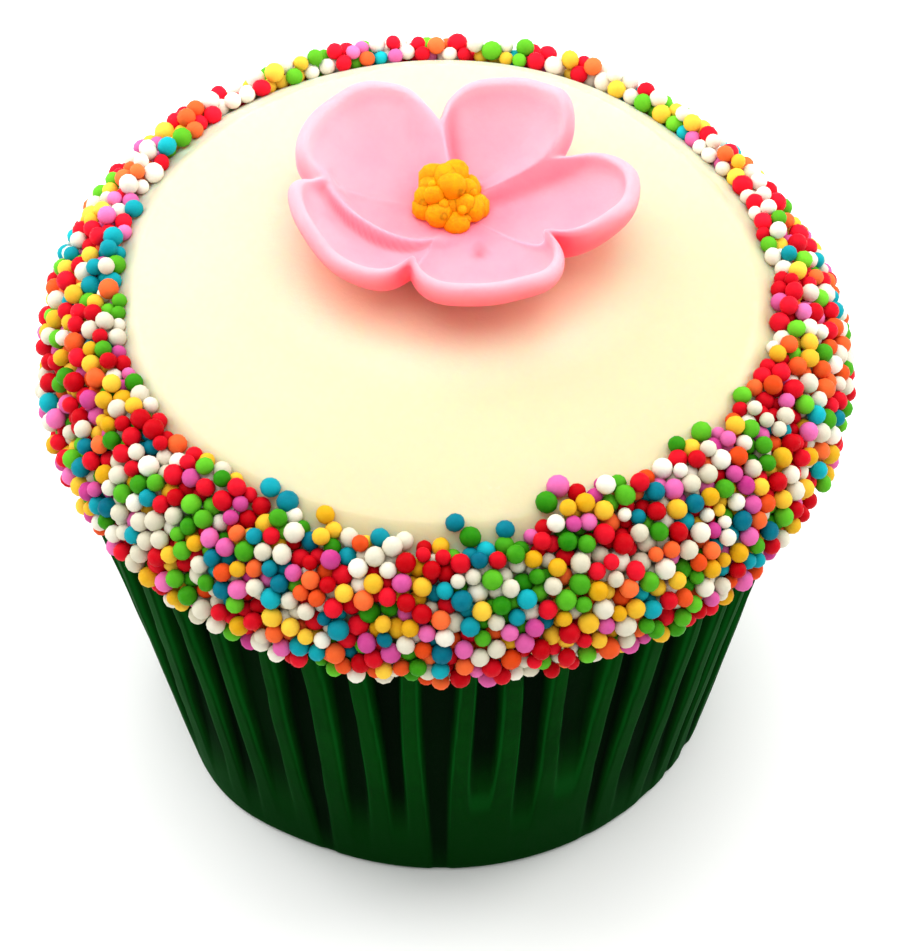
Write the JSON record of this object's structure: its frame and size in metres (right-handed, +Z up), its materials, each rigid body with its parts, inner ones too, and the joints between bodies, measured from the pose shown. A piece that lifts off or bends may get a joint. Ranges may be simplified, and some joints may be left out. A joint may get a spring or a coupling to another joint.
{
  "type": "cupcake",
  "caption": "Iced cupcake in a pleated paper case, its edge rolled in sugar beads, topped with a sugar-paste flower.",
  "frame": {"origin": "centre of the paper case's base, on the surface it stands on", "axes": "+Z up through the middle of the cake; -Y is the front, the side away from the two large back petals; +X to the right seen from the front"},
  "size_m": [0.0707, 0.0707, 0.0628],
  "materials": {
    "green_paper": "greaseproof paper with a soft sheen",
    "sponge": "baked sponge crumb",
    "cream_icing": "smooth rolled icing, satin",
    "sugar_beads": "mixed bright sugar beads, satin",
    "pink_sugar_paste": "soft matt sugar paste",
    "orange_sugar": "rough sugar grains"
  },
  "bodies": {
    "root": {"paper_case": "green_paper", "cake": "sponge", "icing": "cream_icing", "sprinkle_band": "sugar_beads", "flower": "pink_sugar_paste", "flower_centre": "orange_sugar"}
  },
  "joints": []
}
